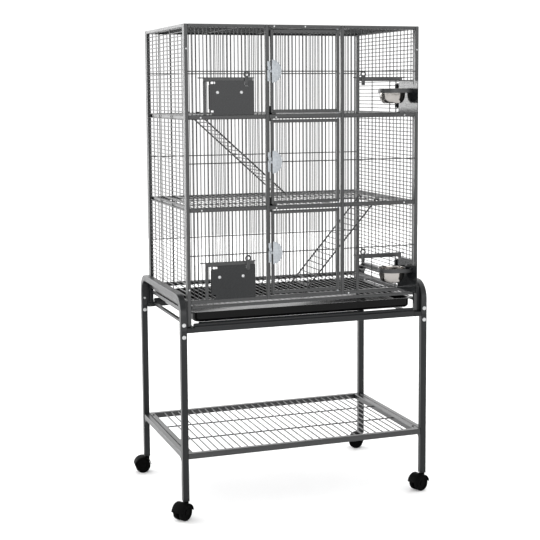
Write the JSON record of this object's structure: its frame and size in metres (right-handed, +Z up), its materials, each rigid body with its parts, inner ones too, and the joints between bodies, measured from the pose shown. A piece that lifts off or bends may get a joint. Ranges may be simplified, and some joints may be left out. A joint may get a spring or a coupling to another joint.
{
  "type": "rat cage",
  "caption": "Tall wire rat cage on a wheeled stand, with stacked doors, feeder hatches with steel bowls, wire platforms and ramps, a pull-out grate and tray, and a wire shelf.",
  "frame": {"origin": "middle of the cage's plan, on the floor under the casters", "axes": "+Z up, +Y from the front with the doors to the back, +X to the right as seen from the front"},
  "size_m": [0.8936, 0.6843, 1.539],
  "materials": {
    "coated_steel": "charcoal powder coat, slightly hammered",
    "zinc": "pale zinc plate",
    "stainless": "spun stainless steel",
    "black_tray": "glossy black",
    "black_plastic": "satin black",
    "wheel_plastic": "satin black"
  },
  "bodies": {
    "cage": {"left_panel": "coated_steel", "right_panel": "coated_steel", "back_panel": "coated_steel", "top_panel": "coated_steel", "front_left_panel": "coated_steel", "front_right_panel": "coated_steel", "front_cross_rails": "coated_steel", "middle_platform": "coated_steel", "upper_platform": "coated_steel", "left_arch": "coated_steel", "right_arch": "coated_steel", "beams": "coated_steel", "side_beams": "coated_steel", "shelf": "coated_steel", "gussets": "coated_steel", "front_left_leg": "coated_steel", "back_left_leg": "coated_steel", "front_right_leg": "coated_steel", "back_right_leg": "coated_steel", "runners": "coated_steel", "latch_keepers": "zinc", "leg_plugs": "black_plastic"},
    "lower_door": {"lower_door": "coated_steel", "lower_door_pins": "zinc"},
    "lower_latch": {"lower_latch_lever": "zinc"},
    "middle_door": {"middle_door": "coated_steel", "middle_door_pins": "zinc"},
    "middle_latch": {"middle_latch_lever": "zinc"},
    "upper_door": {"upper_door": "coated_steel", "upper_door_pins": "zinc"},
    "upper_latch": {"upper_latch_lever": "zinc"},
    "left_lower_hatch": {"left_lower_hatch": "coated_steel", "left_lower_ring": "zinc"},
    "left_lower_bowl": {"left_lower_bowl": "stainless"},
    "left_lower_catch": {"left_lower_catch": "coated_steel"},
    "right_lower_hatch": {"right_lower_hatch": "coated_steel", "right_lower_ring": "zinc"},
    "right_lower_bowl": {"right_lower_bowl": "stainless"},
    "right_lower_catch": {"right_lower_catch": "coated_steel"},
    "left_upper_hatch": {"left_upper_hatch": "coated_steel", "left_upper_ring": "zinc"},
    "left_upper_bowl": {"left_upper_bowl": "stainless"},
    "left_upper_catch": {"left_upper_catch": "coated_steel"},
    "right_upper_hatch": {"right_upper_hatch": "coated_steel", "right_upper_ring": "zinc"},
    "right_upper_bowl": {"right_upper_bowl": "stainless"},
    "right_upper_catch": {"right_upper_catch": "coated_steel"},
    "lower_ramp": {"lower_ramp": "coated_steel"},
    "upper_ramp": {"upper_ramp": "coated_steel"},
    "grate": {"grate": "coated_steel"},
    "tray": {"tray": "black_tray"},
    "front_left_swivel": {"front_left_caster_hood": "black_plastic"},
    "front_left_wheels": {"front_left_caster_wheels": "wheel_plastic"},
    "back_left_swivel": {"back_left_caster_hood": "black_plastic"},
    "back_left_wheels": {"back_left_caster_wheels": "wheel_plastic"},
    "front_right_swivel": {"front_right_caster_hood": "black_plastic"},
    "front_right_wheels": {"front_right_caster_wheels": "wheel_plastic"},
    "back_right_swivel": {"back_right_caster_hood": "black_plastic"},
    "back_right_wheels": {"back_right_caster_wheels": "wheel_plastic"}
  },
  "joints": [
    {"name": "lower_door_hinge", "type": "hinge", "parent": "cage", "child": "lower_door", "pos_m": [0.111, -0.244, 0.827], "axis": [0, 0, 1], "range_deg": [0, 110]},
    {"name": "lower_latch_turn", "type": "hinge", "parent": "lower_door", "child": "lower_latch", "pos_m": [-0.111, -0.2524, 0.827], "axis": [0, 1, 0], "range_deg": [0, 40]},
    {"name": "middle_door_hinge", "type": "hinge", "parent": "cage", "child": "middle_door", "pos_m": [0.111, -0.244, 1.113], "axis": [0, 0, 1], "range_deg": [0, 110]},
    {"name": "middle_latch_turn", "type": "hinge", "parent": "middle_door", "child": "middle_latch", "pos_m": [-0.111, -0.2524, 1.113], "axis": [0, 1, 0], "range_deg": [0, 40]},
    {"name": "upper_door_hinge", "type": "hinge", "parent": "cage", "child": "upper_door", "pos_m": [0.111, -0.244, 1.3955], "axis": [0, 0, 1], "range_deg": [0, 110]},
    {"name": "upper_latch_turn", "type": "hinge", "parent": "upper_door", "child": "upper_latch", "pos_m": [-0.111, -0.2524, 1.3955], "axis": [0, 1, 0], "range_deg": [0, 40]},
    {"name": "left_lower_hatch_hinge", "type": "hinge", "parent": "cage", "child": "left_lower_hatch", "pos_m": [-0.314, -0.246, 0.743], "axis": [0, 0, -1], "range_deg": [0, 110]},
    {"name": "left_lower_bowl_lift", "type": "slide", "parent": "left_lower_hatch", "child": "left_lower_bowl", "axis": [0, 0, 1], "range_m": [0, 0.025]},
    {"name": "left_lower_catch_turn", "type": "hinge", "parent": "cage", "child": "left_lower_catch", "pos_m": [-0.196, -0.2519, 0.801], "axis": [0, 1, 0], "range_deg": [0, 60]},
    {"name": "right_lower_hatch_hinge", "type": "hinge", "parent": "cage", "child": "right_lower_hatch", "pos_m": [0.314, -0.246, 0.743], "axis": [0, 0, 1], "range_deg": [-92, 18]},
    {"name": "right_lower_bowl_lift", "type": "slide", "parent": "right_lower_hatch", "child": "right_lower_bowl", "axis": [0, 0, 1], "range_m": [0, 0.025]},
    {"name": "right_lower_catch_turn", "type": "hinge", "parent": "cage", "child": "right_lower_catch", "pos_m": [0.196, -0.2519, 0.801], "axis": [0, -1, 0], "range_deg": [0, 60]},
    {"name": "left_upper_hatch_hinge", "type": "hinge", "parent": "cage", "child": "left_upper_hatch", "pos_m": [-0.314, -0.246, 1.315], "axis": [0, 0, -1], "range_deg": [0, 110]},
    {"name": "left_upper_bowl_lift", "type": "slide", "parent": "left_upper_hatch", "child": "left_upper_bowl", "axis": [0, 0, 1], "range_m": [0, 0.025]},
    {"name": "left_upper_catch_turn", "type": "hinge", "parent": "cage", "child": "left_upper_catch", "pos_m": [-0.196, -0.2519, 1.373], "axis": [0, 1, 0], "range_deg": [0, 60]},
    {"name": "right_upper_hatch_hinge", "type": "hinge", "parent": "cage", "child": "right_upper_hatch", "pos_m": [0.314, -0.246, 1.315], "axis": [0, 0, 1], "range_deg": [-92, 18]},
    {"name": "right_upper_bowl_lift", "type": "slide", "parent": "right_upper_hatch", "child": "right_upper_bowl", "axis": [0, 0, 1], "range_m": [0, 0.025]},
    {"name": "right_upper_catch_turn", "type": "hinge", "parent": "cage", "child": "right_upper_catch", "pos_m": [0.196, -0.2519, 1.373], "axis": [0, -1, 0], "range_deg": [0, 60]},
    {"name": "lower_ramp_lift", "type": "hinge", "parent": "cage", "child": "lower_ramp", "pos_m": [0.2595, 0, 0.972], "axis": [0, 1, 0], "range_deg": [0, 12]},
    {"name": "upper_ramp_lift", "type": "hinge", "parent": "cage", "child": "upper_ramp", "pos_m": [-0.2595, 0, 1.258], "axis": [0, -1, 0], "range_deg": [0, 12]},
    {"name": "grate_slide", "type": "slide", "parent": "cage", "child": "grate", "axis": [0, -1, 0], "range_m": [0, 0.45]},
    {"name": "tray_slide", "type": "slide", "parent": "cage", "child": "tray", "axis": [0, -1, 0], "range_m": [0, 0.45]},
    {"name": "front_left_swivel_turn", "type": "hinge", "parent": "cage", "child": "front_left_swivel", "pos_m": [-0.411, -0.256, 0.06], "axis": [0, 0, 1], "continuous": true},
    {"name": "front_left_wheel_roll", "type": "hinge", "parent": "front_left_swivel", "child": "front_left_wheels", "pos_m": [-0.42411, -0.26518, 0.026], "axis": [-0.5736, 0.8191, 0], "continuous": true},
    {"name": "back_left_swivel_turn", "type": "hinge", "parent": "cage", "child": "back_left_swivel", "pos_m": [-0.411, 0.256, 0.06], "axis": [0, 0, 1], "continuous": true},
    {"name": "back_left_wheel_roll", "type": "hinge", "parent": "back_left_swivel", "child": "back_left_wheels", "pos_m": [-0.42688, 0.25795, 0.026], "axis": [0.1219, 0.9925, 0], "continuous": true},
    {"name": "front_right_swivel_turn", "type": "hinge", "parent": "cage", "child": "front_right_swivel", "pos_m": [0.411, -0.256, 0.06], "axis": [0, 0, 1], "continuous": true},
    {"name": "front_right_wheel_roll", "type": "hinge", "parent": "front_right_swivel", "child": "front_right_wheels", "pos_m": [0.39596, -0.26147, 0.026], "axis": [-0.342, 0.9397, 0], "continuous": true},
    {"name": "back_right_swivel_turn", "type": "hinge", "parent": "cage", "child": "back_right_swivel", "pos_m": [0.411, 0.256, 0.06], "axis": [0, 0, 1], "continuous": true},
    {"name": "back_right_wheel_roll", "type": "hinge", "parent": "back_right_swivel", "child": "back_right_wheels", "pos_m": [0.39714, 0.264, 0.026], "axis": [0.5, 0.866, 0], "continuous": true}
  ]
}
